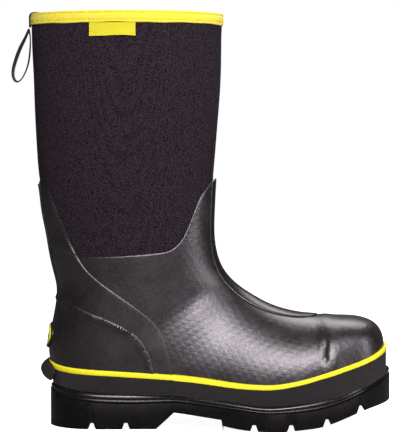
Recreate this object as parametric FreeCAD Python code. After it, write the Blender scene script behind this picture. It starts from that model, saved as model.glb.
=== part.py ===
import FreeCAD, Part
import math
import os
from bisect import bisect_right

from FreeCAD import Vector

# Right safety boot: a neoprene bootie in a moulded rubber shell, on a lugged rubber sole.
# Millimetres. X runs from the back of the heel to the toe, -Y is the outer side of the
# leg, +Y the inner side, and +Z is up. Everything is drawn with X measured from the back
# of the outsole and is moved at the end, so that the origin lies under the middle.

# ---- driving dimensions -------------------------------------------------------------
BOOT_HEIGHT = 399.0  # ground to the rim of the binding
PIVOT_X = 275.0  # the sections of the leg and foot fan out from this point
PIVOT_Z = 228.0
TOE_X = 322.0  # front of the neoprene foot
SECTION_TOP = 404.0  # the sections start a little above the rim

NEOPRENE = 4.5  # thicknesses of the layers, from the inside out
LINING = 2.2
GLUE = 0.1  # between layers that don't share a surface
VAMP_GAP = 0.3  # the layer of glue between the neoprene and the vamp
VAMP = 2.0
COUNTER = 1.8
COUNTER_TOP_TAPER = 1.3  # how much thinner the rubber is at the back of the leg
SPINE = 1.6
HEEL_CUP = 1.2
BACK_STRIP = 1.4
FOXING = 6.2  # its outer face, from the neoprene
STRIPE = 6.6
STIFFENER = 1.1
TOE_CAP_START = 270.0  # back edge of the steel toe cap
TOE_STEP = 14.0  # length of the ramp that the vamp makes over that edge
CAP_BUMP = 2.2  # thickness of the steel, which lifts the vamp
EDGING_WIDTH = 5.3
EDGING_GAP = 0.2

BINDING_LOW = 387.7
BINDING_OUT = 1.7
BINDING_IN = 1.3
BINDING_CAP = 1.6  # thickness over the rim
STITCH_ROWS = (390.3, 397.2)
STITCH = 0.4
TAPE = 0.5
TAPE_LOW = 242.0
FRONT_TAPE_WIDTH = 22.0
BACK_TAPE_WIDTH = 17.0

TAG_LENGTH = 44.0
TAG_X = 41.0
TAG_TOP = 387.0
TAG_LOW = 375.0
TAG_IN = 0.6
TAG_THICKNESS = 0.9

WEB_WIDTH = 9.0
WEB_THICKNESS = 1.4
ANCHOR_WIDTH = 10.0
ANCHOR_THICKNESS = 1.3
ANCHOR_LOW = 386.6
STRAP_GAP = 0.05  # between the strap and the binding
EYE_RADIUS = 1.7
BACK_HALF = 60.0  # cuts for the back of the leg reach this far forward
LOOP_PIVOT = (-20.6, 384.4)

STRIPE_WIDTH = 4.8
BOOTIE_SOLE = 3.0
LINING_SOLE = 1.6
FOOTBED = 5.5
FOOTBED_GAP = 0.6
FOOTBED_HINGE_X = 205.0
FOOTBED_SPLIT = 0.2  # half of the gap at the bend
BOARD = 2.4
PLATE = 1.2
SHANK = (66.0, 196.0, 16.0)  # from, to, width
SHANK_THICKNESS = 2.0
WELT_OVERHANG = 1.4  # the outsole stands out from the welt bead by this much
UPPER_INSET = 7.5  # the welt ring reaches this far in from the outsole's edge

SPUR_AXIS_X = 14.3
BACK_SPINE_LOW = 130.5
BACK_SPINE_TOP = 234.0
FILLER_JOINT = 100.0
ORIGIN_X = 147.6  # the middle of the boot and its pull loop
BADGE_Z = 86.5
BADGE_SIZE = (17.0, 12.6)
BADGE_RING = (15.6, 11.3)
RING_WIDTH = 2.1
BADGE_THICKNESS = 2.0
RING_THICKNESS = 0.9

AROUND = 32  # points around each section
REACH = 120.0  # half the depth of the bodies that cut shapes out in side view
FAR = 500.0

# ---- side view: (x, z) along the front and the back of the neoprene foot and leg -------
FRONT = [(167, 404), (166.6, 372), (165.3, 340), (162.8, 300), (160.6, 262), (158.4, 236),
         (157.0, 207), (157.2, 180), (161.5, 159), (168.5, 145.5), (180, 133.5), (194.5, 123.5),
         (211, 114.5), (227.5, 108.6), (245, 105), (262, 103.2), (275, 101.2), (322, 101.2)]
BACK = [(-16.8, 404), (-17.4, 372), (-15.6, 340), (-14.2, 300), (-12.2, 262), (-9.8, 240),
        (-7.6, 228), (-5.0, 207), (-0.9, 187), (3.0, 168), (7.9, 148), (10.6, 134), (9.0, 117),
        (4.8, 96), (2.4, 80), (3.2, 66), (6, 50), (9.5, 37), (17, 25.5), (48, 23), (90, 22),
        (135, 20.5), (172, 15.7), (205, 12.1), (241, 14.7), (275, 21), (322, 37)]
# station, outer and inner half width, shift of the middle, place of the widest point from
# the front (0) to the back (1), and how square the front and back halves are (2 is round)
SHAPE = [(0.00, 47.0, 47.0, 0.0, 0.50, 2.0, 2.0),
         (0.55, 44.5, 44.5, 0.0, 0.50, 2.0, 2.0),
         (1.00, 41.0, 41.0, 0.0, 0.50, 2.0, 2.0),
         (1.18, 38.5, 38.5, 0.0, 0.50, 2.0, 2.1),
         (1.33, 38.0, 38.0, 0.0, 0.52, 2.0, 2.3),
         (1.41, 38.2, 38.2, 0.0, 0.58, 2.0, 2.8),
         (1.47, 38.6, 38.6, 0.0, 0.62, 2.0, 4.2),
         (1.55, 40.5, 40.0, 0.0, 0.66, 1.9, 4.6),
         (1.65, 45.0, 43.0, 0.0, 0.69, 1.9, 4.6),
         (1.78, 52.0, 49.5, 0.6, 0.71, 1.9, 4.6),
         (1.90, 53.5, 53.0, 1.2, 0.70, 2.0, 4.6),
         (2.00, 51.0, 53.0, 2.2, 0.67, 2.3, 4.6),
         (3.00, 46.0, 51.0, 5.0, 0.55, 2.5, 4.6)]
STATIONS = [0, 0.1, 0.25, 0.42, 0.6, 0.78, 0.92, 1, 1.06, 1.12, 1.18, 1.24, 1.3, 1.35, 1.4, 1.44,
            1.48, 1.53, 1.6, 1.68, 1.77, 1.84, 1.89, 1.935, 1.97, 2]
TOE_STATIONS = [0.25, 0.45, 0.62, 0.76, 0.87, 0.94, 0.98, 0.9975]
TOE_TOP, TOE_PLAN, TOE_SOLE = 3.6, 2.6, 8.0  # how blunt the toe is from above, in plan, below

# ---- side view: edges of the panels ----------------------------------------------------
WELT_TOP = [(-40, 44), (3, 40), (22, 37.5), (45, 35.2), (95, 34), (122, 34), (146, 31.5),
            (184, 26.5), (209, 24), (236, 26), (264, 30.4), (291, 38.4), (318, 49.6), (345, 62)]
OUTSOLE_TOP = [(-40, 50), (2, 35), (20, 29.4), (45, 25.8), (95, 24.5), (122, 25.5), (146, 23.5),
               (184, 19.5), (209, 17.2), (236, 18.2), (264, 21.6), (291, 29.6), (318, 41), (345, 54)]
STRIPE_LINE = [(-40, 68), (-2, 61.5), (11, 57.5), (46, 54.4), (87, 52), (128, 49.2), (154, 46.4),
               (180, 43), (202, 41.5), (220, 42), (247, 47.2), (267, 53), (287, 59), (308, 66.4),
               (326, 75), (345, 86)]
VAMP_TOP = [(163, 241), (155, 234), (147.5, 224.5), (141.6, 212), (133.6, 192), (127.5, 180.5),
            (119, 172), (107, 168.6), (68, 165.6), (30, 165.3), (-12, 170), (-40, 174)]
COUNTER_EDGE = [(-30, 240), (-13, 238), (-3, 229.5), (6.3, 209.5), (13.6, 193.6), (26, 169),
                (37.5, 152.2), (49.6, 141.5), (68.2, 128.2), (88.3, 113.5), (102.5, 101),
                (110, 89.5), (115, 76), (118.5, 62), (120.5, 44), (122, 10)]
HEEL_CUP_EDGE = [(-30, 131), (5, 128.5), (20, 121.5), (36, 114), (50, 108.6), (63, 103.4),
                 (75, 97.2), (85, 90.6), (92, 82.4), (97, 73), (100.6, 63), (102.5, 50), (103.5, 30)]
STIFFENER_EDGE = [(-10, 118), (12, 116), (32, 108), (52, 92), (64, 74), (72, 50), (76, 20)]
POCKET_EDGE = [(-10, 119), (12, 117), (32, 109), (53, 93), (65, 75), (73, 50), (77, 20)]

# ---- plan view: edge of the outsole, and its treads in side view -------------------------
OUTSOLE_EDGE = [(0, 0), (6, -24), (24, -40), (52, -45), (90, -43.5), (125, -45), (165, -54),
                (205, -61.5), (240, -61), (275, -53), (305, -37), (325, -15), (332.5, 6),
                (328, 27), (311, 46), (280, 58.5), (245, 62), (210, 57), (170, 47), (125, 41.5),
                (90, 42), (52, 44.5), (24, 40), (6, 24)]
HEEL_BREAST = [(103.5, 0), (121, 16)]
TREAD = [(166, 10.6), (168, 4.8), (192, 1), (208, 0), (224, 0), (240, 1.6), (262, 4.2),
         (280, 9.6), (296, 15), (312, 19.2), (326, 21.6), (342, 27)]
HEEL_GROOVES = (42.5, 75.0)
SOLE_GROOVES = (197.0, 232.0, 266.5, 300.0)
GROOVE = (9.4, 3.0, 6.1)  # width at the ground, width at the bottom of it, depth
CHANNEL_WIDTH = 9.0
CHANNEL_DEPTH = 5.0

SPINE_PLAN = [(130, -11.5), (152, -12), (180, -14.5), (205, -17), (232, -15.5), (252, -10.5),
              (261, 0), (252, 10.5), (232, 15.5), (205, 17), (180, 14.5), (152, 12), (130, 11.5)]

# ---- side view: the webbing loop and the heel spur ---------------------------------------
LOOP_LINE = [(-21.3, 383.2), (-24.6, 376.2), (-29.6, 366.3), (-34.4, 353.8), (-36.6, 344.5),
             (-35.9, 337.0), (-32.6, 333.6), (-28.9, 335.6), (-25.2, 341.2), (-22.2, 348.5),
             (-20.3, 357), (-19.5, 366), (-19.3, 376), (-19.8, 383.2)]
SPUR_SIDE = [(0, 65), (-5.6, 61.6), (-9.4, 57), (-10.3, 53.6), (-9.6, 50.4), (-5.4, 44.2), (3, 41)]


def curve_value(points, at):
    """A smooth curve through (place, value) points: the value at a place."""
    i = min(max(bisect_right([p[0] for p in points], at) - 1, 0), len(points) - 2)
    steps = [(b[1] - a[1]) / (b[0] - a[0]) for a, b in zip(points, points[1:])]
    slope = [steps[0]] + [(a + b) / 2 for a, b in zip(steps, steps[1:])] + [steps[-1]]
    (x0, y0), (x1, y1) = points[i], points[i + 1]
    h = x1 - x0
    t = min(max((at - x0) / h, 0.0), 1.0)
    return ((2 * t**3 - 3 * t**2 + 1) * y0 + (t**3 - 2 * t**2 + t) * h * slope[i]
            + (3 * t**2 - 2 * t**3) * y1 + (t**3 - t**2) * h * slope[i + 1])


def smoothstep(low, high, at):
    t = min(max((at - low) / (high - low), 0.0), 1.0)
    return t * t * (3 - 2 * t)


def station(x, z):
    """Where along the leg and foot a point of the side view is, and how far from the pivot."""
    if z >= PIVOT_Z:
        return (SECTION_TOP - z) / (SECTION_TOP - PIVOT_Z), PIVOT_X - x
    if x <= PIVOT_X:
        angle = math.atan2(PIVOT_Z - z, PIVOT_X - x)
        return 1 + angle / (math.pi / 2), math.hypot(PIVOT_X - x, PIVOT_Z - z)
    return 2 + (x - PIVOT_X) / (TOE_X - PIVOT_X), PIVOT_Z - z


FRONT_WALL = [station(x, z) for x, z in FRONT]
BACK_WALL = [station(x, z) for x, z in BACK]


def closing(t, bluntness):
    return (1 - min(t, 1.0) ** bluntness) ** (1 / bluntness)


def section(s, offset, extra=None, toe=0.0):
    """Points of one section, offset outwards from the neoprene, as a closed smooth wire."""
    front, back = curve_value(FRONT_WALL, s), curve_value(BACK_WALL, s)
    outer, inner, shift, widest, front_power, back_power = (
        curve_value([(row[0], row[k]) for row in SHAPE], s) for k in range(1, 7))
    top, plan, sole = closing(toe, TOE_TOP), closing(toe, TOE_PLAN), closing(toe, TOE_SOLE)
    middle = front + widest * (back - front)

    def spot(angle, by):
        c, w = math.cos(angle), math.sin(angle)
        power = front_power if c > 0 else back_power
        size = (abs(c) ** power + abs(w) ** power) ** (-1 / power)
        length = (middle - front + by) * top if c > 0 else (back - middle + by) * sole
        width = ((inner if w > 0 else outer) + by) * plan
        return place(s, middle - size * c * length, shift + size * w * width, by, toe)

    angles = [2 * math.pi * (k + 0.5) / AROUND for k in range(AROUND)]
    more = [extra(spot(a, offset), math.cos(a)) if extra else 0.0 for a in angles]
    return [spot(a, offset + by) for a, by in zip(angles, more)]


def place(s, along, y, offset, toe):
    if s <= 1:
        return Vector(PIVOT_X - along, y, SECTION_TOP - s * (SECTION_TOP - PIVOT_Z))
    if s < 2:
        angle = (s - 1) * math.pi / 2
        return Vector(PIVOT_X - along * math.cos(angle), y, PIVOT_Z - along * math.sin(angle))
    return Vector(PIVOT_X + toe * (TOE_X - PIVOT_X + offset), y, PIVOT_Z - along)


def ring(points):
    curve = Part.BSplineCurve()
    curve.interpolate(Points=points, PeriodicFlag=True)
    return Part.Wire([curve.toShape()])


def last(offset, extra=None, until=2.0):
    """The solid leg and foot, its surface offset outwards from the neoprene's."""
    grid = [section(s, offset, extra) for s in STATIONS if s <= until]
    if until == 2.0:
        grid += [section(2 + toe, offset, extra, toe) for toe in TOE_STATIONS]
    surface = Part.BSplineSurface()
    surface.interpolate([points + points[:1] for points in grid])
    surface.setVPeriodic()
    surface.setVNotPeriodic()
    top, end, start, stop = surface.bounds()
    walls = []
    for low, high in ((start, (start + stop) / 2), ((start + stop) / 2, stop)):
        wall = surface.copy()
        wall.segment(top, end, low, high)
        walls.append(wall.toShape())
    caps = [Part.Face(Part.Wire([wall.Edges[k] for wall in walls])) for k in (0, 2)]
    shell = Part.makeShell(walls + caps)
    shell.sewShape()
    return Part.Solid(shell)


def leg(offset):
    """The upper part of the same surface, which is enough for the rim and what hangs there."""
    return last(offset, None, 0.6)


def cap_bump(point, front):
    """How far the steel toe cap lifts the vamp."""
    return CAP_BUMP * smoothstep(TOE_CAP_START - TOE_STEP, TOE_CAP_START, point.x)


def back_taper(point, front):
    """How much the rubber thins towards the top of the back of the leg."""
    return -COUNTER_TOP_TAPER * smoothstep(150, 200, point.z) * smoothstep(0.2, -0.6, front)


def spline(points):
    curve = Part.BSplineCurve()
    curve.interpolate(Points=[Vector(x, 0, z) for x, z in points])
    return curve


def side_body(points, to_z):
    """Everything between a side-view curve, run on level at its ends, and the level to_z."""
    (x0, z0), (x1, z1) = points[0], points[-1]
    far0, far1 = (-FAR, FAR) if x0 < x1 else (FAR, -FAR)
    corners = [(x1, z1), (far1, z1), (far1, to_z), (far0, to_z), (far0, z0), (x0, z0)]
    line = Part.makePolygon([Vector(x, 0, z) for x, z in corners])
    face = Part.Face(Part.Wire([spline(points).toShape()] + line.Edges))
    face.translate(Vector(0, -REACH, 0))
    return face.extrude(Vector(0, 2 * REACH, 0))


def raised(points, by):
    return [(x, z + by) for x, z in points]


def above(points, by=0.0):
    return side_body(raised(points, by), FAR)


def below(points, by=0.0):
    return side_body(raised(points, by), -FAR)


def block(x0, x1, y0, y1, z0, z1):
    return Part.makeBox(x1 - x0, y1 - y0, z1 - z0, Vector(x0, y0, z0))


def plan_body(points, inset, z0, z1):
    """An upright body whose edge is the plan curve, moved in by inset."""
    moved = []
    for i, (x, y) in enumerate(points):
        (xa, ya), (xb, yb) = points[i - 1], points[(i + 1) % len(points)]
        tangent = math.hypot(xb - xa, yb - ya)
        moved.append(Vector(x - inset * (yb - ya) / tangent, y + inset * (xb - xa) / tangent, z0))
    return Part.Face(ring(moved)).extrude(Vector(0, 0, z1 - z0))


def cut_all(shape, *tools):
    for tool in tools:
        shape = shape.cut(tool)
    return shape


def common_all(shape, *tools):
    for tool in tools:
        shape = shape.common(tool)
    return shape


def oval(y, z, half_y, half_z):
    """An upright oval bar along X."""
    curve = Part.Ellipse(Vector(0, 0, 0), half_y, half_z).toShape()
    bar = Part.Face(Part.Wire([curve])).extrude(Vector(0, 0, 2 * REACH))
    bar.rotate(Vector(0, 0, 0), Vector(1, 1, 1), 120)
    bar.translate(Vector(-REACH, y, z))
    return bar


def zone(x0=-FAR, x1=FAR, y=REACH, z0=-FAR, z1=FAR):
    """A block between limits, as deep as y on each side of the middle."""
    return block(x0, x1, -y, y, z0, z1)


def rubber(offset):
    """A surface of the moulded rubber: it rises over the toe cap and thins at the back."""
    return last(offset, lambda p, front: cap_bump(p, front) + back_taper(p, front))


WALL_IN = -(NEOPRENE + GLUE + LINING)
SKIN = last(0.0)
CAP_SKIN = last(VAMP_GAP, cap_bump)
LINING_SKIN = last(WALL_IN)
VAMP_SKIN = rubber(VAMP)
COUNTER_SKIN = rubber(VAMP + COUNTER)
CUP_SKIN = rubber(VAMP + COUNTER + HEEL_CUP)
CAVITY = last(-NEOPRENE - GLUE)
UPPER = above(WELT_TOP)
RIM = BOOT_HEIGHT - BINDING_CAP
HALF_STRIPE = STRIPE_WIDTH / 2
STACK = BOARD + PLATE


def neoprene_panel(low_y, high_y):
    """Half of the bootie's wall: the halves meet at the front and back seams."""
    half = block(-FAR, FAR, low_y, high_y, -FAR, RIM)
    return common_all(SKIN.cut(last(-NEOPRENE)), half, UPPER)


def heel_stiffener():
    shell = CAVITY.cut(last(-NEOPRENE - GLUE - STIFFENER))
    return common_all(shell, zone(x1=90, z1=130), above(WELT_TOP, 6), below(STIFFENER_EDGE))


def lining_sock():
    """A thin sock inside the bootie, closed under the foot, cut back for the stiffener."""
    hollow = LINING_SKIN.common(above(WELT_TOP, BOOTIE_SOLE + LINING_SOLE))
    body = common_all(CAVITY, above(WELT_TOP, BOOTIE_SOLE + GLUE), zone(z1=RIM))
    pocket = CAVITY.cut(last(-NEOPRENE - 2 * GLUE - STIFFENER))
    return cut_all(body, hollow, common_all(pocket, zone(x1=90, z1=130), below(POCKET_EDGE)))


def bootie_sole():
    return common_all(CAVITY, above(WELT_TOP, GLUE), below(WELT_TOP, BOOTIE_SOLE))


def seam_tape(width, x0, x1):
    band = last(TAPE, None, 1.0).common(zone(x0, x1, width / 2, TAPE_LOW, BINDING_LOW))
    return band.cut(SKIN)


def top_binding():
    """A strip folded over the rim, with a lip outside and a lip inside."""
    strip = leg(BINDING_OUT).cut(leg(WALL_IN - BINDING_IN))
    wall = SKIN.cut(LINING_SKIN).common(zone(z0=BINDING_LOW - 1, z1=RIM))
    return strip.common(zone(z0=BINDING_LOW, z1=BOOT_HEIGHT)).cut(wall)


def binding_stitching():
    """Two rows of thread that stop on each side of the pull loop's anchor."""
    thread = leg(BINDING_OUT + STITCH).cut(leg(BINDING_OUT))
    thread = thread.cut(zone(x1=BACK_HALF, y=ANCHOR_WIDTH / 2 + STITCH))
    return Part.makeCompound([thread.common(zone(z0=z - STITCH, z1=z + STITCH)) for z in STITCH_ROWS])


def pull_loop_anchor():
    """A strap sewn over the binding, which holds the pull loop."""
    outside, inside = BINDING_OUT + STRAP_GAP, WALL_IN - BINDING_IN - STRAP_GAP
    strap = leg(outside + ANCHOR_THICKNESS).cut(leg(inside - ANCHOR_THICKNESS))
    strap = strap.common(zone(z0=ANCHOR_LOW, z1=BOOT_HEIGHT + ANCHOR_THICKNESS))
    strap = strap.common(zone(x1=BACK_HALF, y=ANCHOR_WIDTH / 2))
    filled = leg(outside).cut(leg(inside))
    return strap.cut(filled.common(zone(z1=BOOT_HEIGHT + STRAP_GAP)))


def ribbon(points, thickness):
    """Side view of a strip: two curves beside a line of points, joined at their ends."""
    edges = []
    for side in (-thickness / 2, thickness / 2):
        moved = []
        for i, (x, z) in enumerate(points):
            (xa, za), (xb, zb) = points[max(i - 1, 0)], points[min(i + 1, len(points) - 1)]
            tangent = math.hypot(xb - xa, zb - za)
            moved.append((x - side * (zb - za) / tangent, z + side * (xb - xa) / tangent))
        edges.append(moved)
    ends = [Part.makeLine(Vector(a[0], 0, a[1]), Vector(b[0], 0, b[1]))
            for a, b in ((edges[0][0], edges[1][0]), (edges[0][-1], edges[1][-1]))]
    curves = [spline(edge).toShape() for edge in edges]
    return Part.Face(Part.Wire([curves[0], ends[1], curves[1], ends[0]]))


def pull_loop():
    """A flat webbing loop, sewn into a round eye where it hangs."""
    face = ribbon(LOOP_LINE, WEB_THICKNESS)
    face.translate(Vector(0, -WEB_WIDTH / 2, 0))
    start = Vector(LOOP_PIVOT[0], -WEB_WIDTH / 2, LOOP_PIVOT[1])
    eye = Part.makeCylinder(EYE_RADIUS, WEB_WIDTH, start, Vector(0, 1, 0))
    return face.extrude(Vector(0, WEB_WIDTH, 0)).fuse(eye).removeSplitter()


def label_tag():
    flap = leg(TAG_IN + TAG_THICKNESS).cut(leg(TAG_IN))
    return flap.common(block(TAG_X, TAG_X + TAG_LENGTH, -REACH, 0, TAG_LOW, TAG_TOP))


def toe_cap():
    """The steel cap, between the neoprene and the vamp."""
    return common_all(CAP_SKIN, UPPER, zone(x0=TOE_CAP_START)).cut(last(GLUE))


def toe_cap_edging():
    """The soft strip along the steel cap's back edge."""
    end = TOE_CAP_START - EDGING_GAP
    return common_all(CAP_SKIN, UPPER, zone(x0=end - EDGING_WIDTH, x1=end)).cut(last(GLUE))


def vamp_shell():
    return common_all(VAMP_SKIN.cut(CAP_SKIN), UPPER, below(VAMP_TOP))


def counter_shell():
    return common_all(COUNTER_SKIN.cut(VAMP_SKIN), UPPER, below(COUNTER_EDGE))


def front_spine():
    """The raised rib from the top of the vamp down the instep to the toe."""
    rib = rubber(VAMP + SPINE).cut(VAMP_SKIN)
    return common_all(rib, plan_body(SPINE_PLAN, 0, 90, 300), below(VAMP_TOP))


def back_spine():
    rib = rubber(VAMP + COUNTER + BACK_STRIP).cut(COUNTER_SKIN)
    return rib.common(zone(x1=BACK_HALF, y=BACK_TAPE_WIDTH / 2, z0=BACK_SPINE_LOW, z1=BACK_SPINE_TOP))


def heel_cup():
    shell = CUP_SKIN.cut(COUNTER_SKIN)
    return common_all(shell, above(STRIPE_LINE, HALF_STRIPE), below(HEEL_CUP_EDGE))


def wrap(offset, low, high):
    """A strip round the foot, over the vamp and over the counter's lower part."""
    strip = common_all(last(offset), low, high).cut(VAMP_SKIN)
    return strip.cut(COUNTER_SKIN.common(below(COUNTER_EDGE)))


def foxing_band():
    return wrap(FOXING, UPPER, below(STRIPE_LINE, -HALF_STRIPE))


def foxing_stripe():
    return wrap(STRIPE, above(STRIPE_LINE, -HALF_STRIPE), below(STRIPE_LINE, HALF_STRIPE))


def kick_spur():
    """A ledge round the heel, which the other foot treads on to pull the boot off."""
    curve = spline(SPUR_SIDE).toShape()
    (x0, z0), (x1, z1) = SPUR_SIDE[0], SPUR_SIDE[-1]
    back = Part.makePolygon([Vector(x, 0, z) for x, z in
                             ((x1, z1), (SPUR_AXIS_X, z1), (SPUR_AXIS_X, z0), (x0, z0))])
    face = Part.Face(Part.Wire([curve] + back.Edges))
    ledge = face.revolve(Vector(SPUR_AXIS_X, 0, 0), Vector(0, 0, 1), 360)
    return ledge.cut(last(STRIPE + GLUE)).common(zone(x1=SPUR_AXIS_X + 2))


def heel_badge():
    disc = rubber(VAMP + COUNTER + HEEL_CUP + BADGE_THICKNESS).cut(CUP_SKIN)
    return common_all(disc, oval(0, BADGE_Z, *BADGE_SIZE), zone(x1=BACK_HALF))


def heel_badge_ring():
    low = VAMP + COUNTER + HEEL_CUP + BADGE_THICKNESS
    disc = rubber(low + RING_THICKNESS).cut(rubber(low))
    inner = [size - RING_WIDTH for size in BADGE_RING]
    disc = common_all(disc, oval(0, BADGE_Z, *BADGE_RING), zone(x1=BACK_HALF))
    return disc.cut(oval(0, BADGE_Z, *inner))


def sole_layer(inset, low, high, low_by=0.0, high_by=0.0):
    """A layer of the sole: the plan shape between two side-view curves."""
    body = plan_body(OUTSOLE_EDGE, inset, -5, 90)
    return common_all(body, above(low, low_by), below(high, high_by))


def footbed(x0, x1):
    low = BOOTIE_SOLE + LINING_SOLE + 2 * GLUE
    inside = last(WALL_IN - FOOTBED_GAP)
    return common_all(inside, above(WELT_TOP, low), below(WELT_TOP, low + FOOTBED), zone(x0, x1))


def insole_board():
    return sole_layer(UPPER_INSET, WELT_TOP, WELT_TOP, -BOARD, 0)


def puncture_plate():
    return sole_layer(UPPER_INSET, WELT_TOP, WELT_TOP, -STACK, -BOARD)


def shank():
    x0, x1, width = SHANK
    strip = zone(x0, x1, width / 2, 0, 90)
    return common_all(strip, above(WELT_TOP, -STACK - SHANK_THICKNESS), below(WELT_TOP, -STACK))


def filler(x0, x1):
    """Foam between the outsole and the plate, with a slot for the shank."""
    a, b, width = SHANK
    slot = zone(a - GLUE, b + GLUE, width / 2 + GLUE, 0, 90)
    slot = slot.common(above(WELT_TOP, -STACK - SHANK_THICKNESS - GLUE))
    body = sole_layer(UPPER_INSET, OUTSOLE_TOP, WELT_TOP, 0, -STACK)
    return body.common(zone(x0, x1)).cut(slot)


def welt():
    body = sole_layer(WELT_OVERHANG, OUTSOLE_TOP, WELT_TOP)
    return body.cut(plan_body(OUTSOLE_EDGE, UPPER_INSET, -5, 90))


def groove(x, z):
    """A tapered groove across the tread, with the ground at z."""
    low, high, depth = GROOVE
    corners = [(x - low * 0.75, z - low), (x - high / 2, z + depth), (x + high / 2, z + depth),
               (x + low * 0.75, z - low), (x - low * 0.75, z - low)]
    face = Part.Face(Part.makePolygon([Vector(px, -REACH, pz) for px, pz in corners]))
    return face.extrude(Vector(0, 2 * REACH, 0))


def outsole():
    """The lugged outsole: a heel block, a raised waist and a forefoot that curves up."""
    body = plan_body(OUTSOLE_EDGE, 0, 0, 90).common(below(OUTSOLE_TOP))
    (x0, z0), (x1, z1) = HEEL_BREAST
    waist = [(x0 - 1, z0 - 1), (x1, z1), TREAD[0], (TREAD[1][0], -1), (x0 - 1, z0 - 1)]
    face = Part.Face(Part.makePolygon([Vector(x, -REACH, z) for x, z in waist]))
    body = body.cut(face.extrude(Vector(0, 2 * REACH, 0)))
    body = body.cut(below(TREAD[1:]).common(zone(x0=TREAD[1][0])))
    for x in HEEL_GROOVES:
        body = body.cut(groove(x, 0))
    for x in SOLE_GROOVES:
        body = body.cut(groove(x, curve_value(TREAD, x)))
    channel = below(TREAD[1:], CHANNEL_DEPTH).common(
        zone(TREAD[1][0] - 5, SOLE_GROOVES[-1], CHANNEL_WIDTH / 2))
    recess = zone(HEEL_GROOVES[0], HEEL_BREAST[0][0] + 20, CHANNEL_WIDTH, -1, CHANNEL_DEPTH)
    return cut_all(body, channel, recess)


NODES = {
    "neoprene_lateral_panel": lambda: neoprene_panel(-REACH, 0),
    "neoprene_medial_panel": lambda: neoprene_panel(0, REACH),
    "bootie_sole": bootie_sole,
    "heel_stiffener": heel_stiffener,
    "lining_sock": lining_sock,
    "front_seam_tape": lambda: seam_tape(FRONT_TAPE_WIDTH, BACK_HALF, FAR),
    "back_seam_tape": lambda: seam_tape(BACK_TAPE_WIDTH, -FAR, BACK_HALF),
    "top_binding": top_binding,
    "binding_stitching": binding_stitching,
    "pull_loop_anchor": pull_loop_anchor,
    "pull_loop": pull_loop,
    "label_tag": label_tag,
    "toe_cap": toe_cap,
    "toe_cap_edging": toe_cap_edging,
    "vamp_shell": vamp_shell,
    "counter_shell": counter_shell,
    "front_spine": front_spine,
    "back_spine": back_spine,
    "heel_cup": heel_cup,
    "foxing_band": foxing_band,
    "foxing_stripe": foxing_stripe,
    "kick_spur": kick_spur,
    "heel_badge": heel_badge,
    "heel_badge_ring": heel_badge_ring,
    "insole_board": insole_board,
    "puncture_plate": puncture_plate,
    "shank": shank,
    "heel_filler": lambda: filler(-FAR, FILLER_JOINT),
    "forefoot_filler": lambda: filler(FILLER_JOINT, FAR),
    "welt": welt,
    "outsole": outsole,
    "footbed_front": lambda: footbed(FOOTBED_HINGE_X + FOOTBED_SPLIT, FAR),
    "footbed_heel": lambda: footbed(-FAR, FOOTBED_HINGE_X - FOOTBED_SPLIT),
}

os.makedirs("parts", exist_ok=True)
for name, make in NODES.items():
    shape = make()
    shape.translate(Vector(-ORIGIN_X, 0, 0))
    shape.exportStep("parts/" + name + ".step")
    print(name, shape.isValid(), len(shape.Solids), round(shape.Volume), flush=True)
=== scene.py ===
import math

import bmesh
import bpy
import numpy as np
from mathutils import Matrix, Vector


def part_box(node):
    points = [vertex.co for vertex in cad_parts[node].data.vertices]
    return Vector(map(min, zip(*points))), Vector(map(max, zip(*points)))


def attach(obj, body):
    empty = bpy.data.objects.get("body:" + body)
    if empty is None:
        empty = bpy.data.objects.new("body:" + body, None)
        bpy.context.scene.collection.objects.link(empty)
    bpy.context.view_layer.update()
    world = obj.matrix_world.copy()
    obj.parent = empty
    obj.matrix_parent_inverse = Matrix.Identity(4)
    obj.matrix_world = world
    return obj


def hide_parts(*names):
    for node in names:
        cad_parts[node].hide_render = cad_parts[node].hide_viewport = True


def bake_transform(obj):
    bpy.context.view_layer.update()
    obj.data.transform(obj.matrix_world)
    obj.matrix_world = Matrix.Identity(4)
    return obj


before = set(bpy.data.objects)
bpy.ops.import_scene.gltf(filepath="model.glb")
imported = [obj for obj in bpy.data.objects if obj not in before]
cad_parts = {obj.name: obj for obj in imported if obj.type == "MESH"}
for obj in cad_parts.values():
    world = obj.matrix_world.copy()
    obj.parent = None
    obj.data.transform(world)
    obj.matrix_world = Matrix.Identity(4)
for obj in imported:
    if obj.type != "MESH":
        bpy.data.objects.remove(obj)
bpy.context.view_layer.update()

# Lengths in this script are millimetres, with X measured from the back of the outsole, +Y the
# inner side of the foot and Z up from the ground. to_row() turns them into the frame's metres.
MM = 0.001
HEEL_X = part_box("outsole")[0][0]
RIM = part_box("top_binding")[1][2] / MM
RNG = np.random.default_rng(7)

# ---- the leg and foot: the same sections as the CAD model's -----------------------------
PIVOT_X, PIVOT_Z, TOE_X, SECTION_TOP = 275.0, 228.0, 322.0, 404.0
FRONT = [(167, 404), (166.6, 372), (165.3, 340), (162.8, 300), (160.6, 262), (158.4, 236),
         (157.0, 207), (157.2, 180), (161.5, 159), (168.5, 145.5), (180, 133.5), (194.5, 123.5),
         (211, 114.5), (227.5, 108.6), (245, 105), (262, 103.2), (275, 101.2), (322, 101.2)]
BACK = [(-16.8, 404), (-17.4, 372), (-15.6, 340), (-14.2, 300), (-12.2, 262), (-9.8, 240),
        (-7.6, 228), (-5.0, 207), (-0.9, 187), (3.0, 168), (7.9, 148), (10.6, 134), (9.0, 117),
        (4.8, 96), (2.4, 80), (3.2, 66), (6, 50), (9.5, 37), (17, 25.5), (48, 23), (90, 22),
        (135, 20.5), (172, 15.7), (205, 12.1), (241, 14.7), (275, 21), (322, 37)]
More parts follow.
